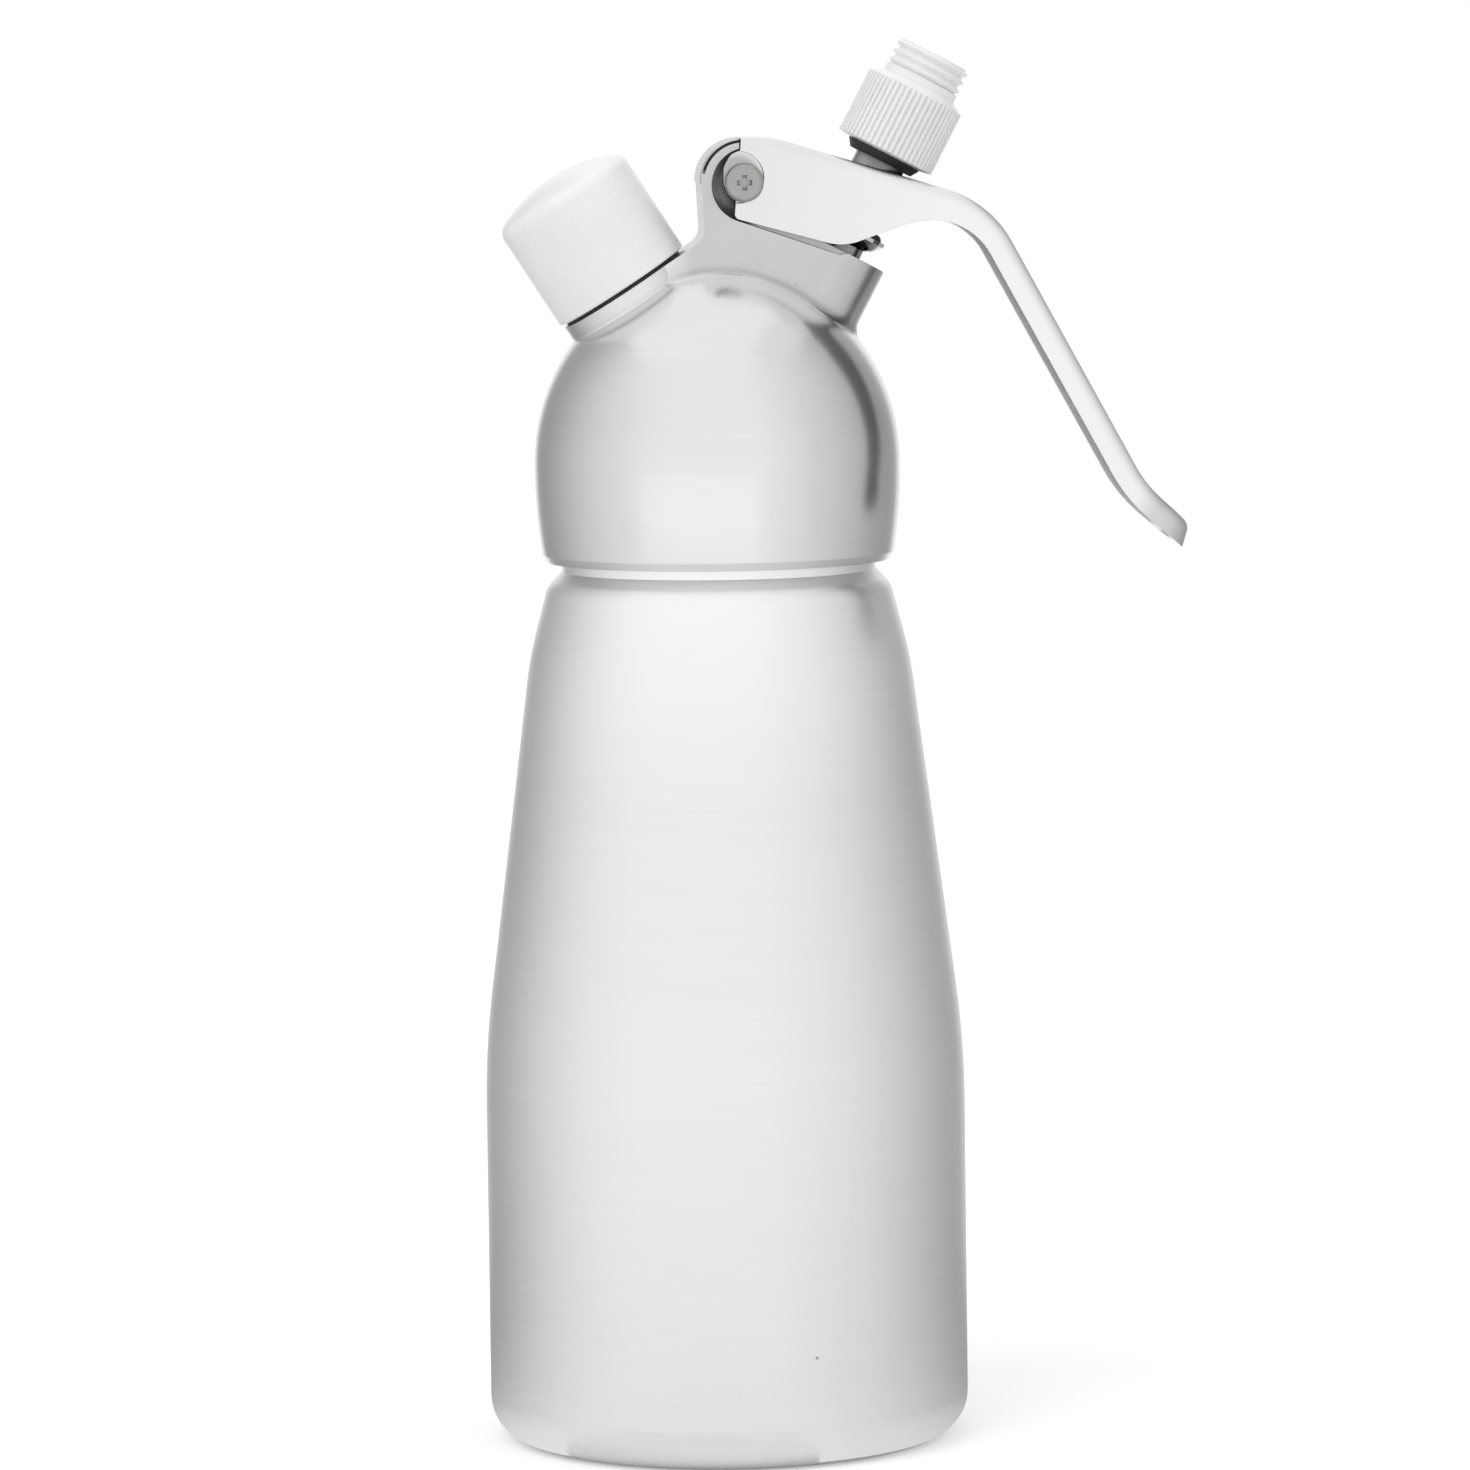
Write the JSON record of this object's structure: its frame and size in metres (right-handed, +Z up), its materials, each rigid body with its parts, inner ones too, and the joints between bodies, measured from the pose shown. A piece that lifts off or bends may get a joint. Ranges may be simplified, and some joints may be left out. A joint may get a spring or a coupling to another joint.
{
  "type": "whipped cream dispenser",
  "caption": "Hand-held whipped cream dispenser: tapered metal bottle, domed head with a leaning charger port under a cap, a lever valve and a ribbed nozzle adapter.",
  "frame": {"origin": "centre of the bottle's flat base", "axes": "+Z up along the bottle's axis, +X towards the lever's handle and the nozzle, -Y the side with the pivot screw's head"},
  "size_m": [0.1179, 0.08, 0.2328],
  "materials": {
    "bottle_metal": "satin, fine lines around the axis",
    "casting_metal": "satin on the dome, polished on the saddle",
    "lever_metal": "bright satin",
    "plated_steel": "polished plating",
    "port_steel": "turned",
    "spring_steel": "drawn wire",
    "screw_steel": "dull, lightly worn",
    "white_plastic": "smooth, slightly glossy",
    "seal_rubber": "matt black"
  },
  "bodies": {
    "bottle_body": {"bottle": "bottle_metal"},
    "gasket_body": {"head_gasket": "seal_rubber"},
    "head_body": {"head_casting": "casting_metal", "charger_port": "port_steel", "piercing_pin": "plated_steel", "charger_seal": "seal_rubber", "check_sleeve": "seal_rubber", "gland_nut": "plated_steel", "stem_rings": "seal_rubber", "spring_retainer": "port_steel", "valve_spring": "spring_steel", "pivot_barrel": "plated_steel", "pivot_screw": "screw_steel"},
    "washer_body": {"port_washer": "seal_rubber"},
    "cap_body": {"charger_cap": "white_plastic"},
    "lever_body": {"lever": "lever_metal"},
    "stem_body": {"valve_stem": "plated_steel", "cup_ring": "seal_rubber", "valve_plate": "plated_steel", "valve_seal": "seal_rubber"},
    "collar_ring_body": {"adapter_gasket": "seal_rubber"},
    "adapter_body": {"nozzle_adapter": "white_plastic"}
  },
  "joints": [
    {"name": "head_turn", "type": "hinge", "parent": "bottle_body", "child": "gasket_body", "pos_m": [0, 0, 0.161], "axis": [0, 0, 1], "range_deg": [0, 1081]},
    {"name": "head_rise", "type": "slide", "parent": "gasket_body", "child": "head_body", "axis": [0, 0, 1], "range_m": [0, 0.009]},
    {"name": "cap_turn", "type": "hinge", "parent": "head_body", "child": "washer_body", "pos_m": [-0.01515, 0, 0.19208], "axis": [-0.5373, 0, 0.8434], "range_deg": [0, 2162]},
    {"name": "cap_rise", "type": "slide", "parent": "washer_body", "child": "cap_body", "axis": [-0.5373, 0, 0.8434], "range_m": [0, 0.009]},
    {"name": "lever_press", "type": "hinge", "parent": "head_body", "child": "lever_body", "pos_m": [0.0045, 0, 0.2096], "axis": [0, 1, 0], "range_deg": [0, 4], "stiffness_Nm_per_rad": 1.5, "springref_deg": -5.73},
    {"name": "valve_slide", "type": "slide", "parent": "head_body", "child": "stem_body", "axis": [-0.4664, 0, -0.8846], "range_m": [0, 0.0015], "deforming": ["valve_spring"]},
    {"name": "adapter_turn", "type": "hinge", "parent": "stem_body", "child": "collar_ring_body", "pos_m": [0.02845, 0, 0.21406], "axis": [0.4664, 0, 0.8846], "range_deg": [0, 1802]},
    {"name": "adapter_rise", "type": "slide", "parent": "collar_ring_body", "child": "adapter_body", "axis": [0.4664, 0, 0.8846], "range_m": [0, 0.0075]}
  ],
  "couplings": [
    {"joint": "head_turn", "follows": "head_rise", "rad_per_m": 2094.4},
    {"joint": "cap_turn", "follows": "cap_rise", "rad_per_m": 4188.8},
    {"joint": "valve_slide", "follows": "lever_press", "m_per_rad": 0.0205},
    {"joint": "adapter_turn", "follows": "adapter_rise", "rad_per_m": 4188.8}
  ]
}
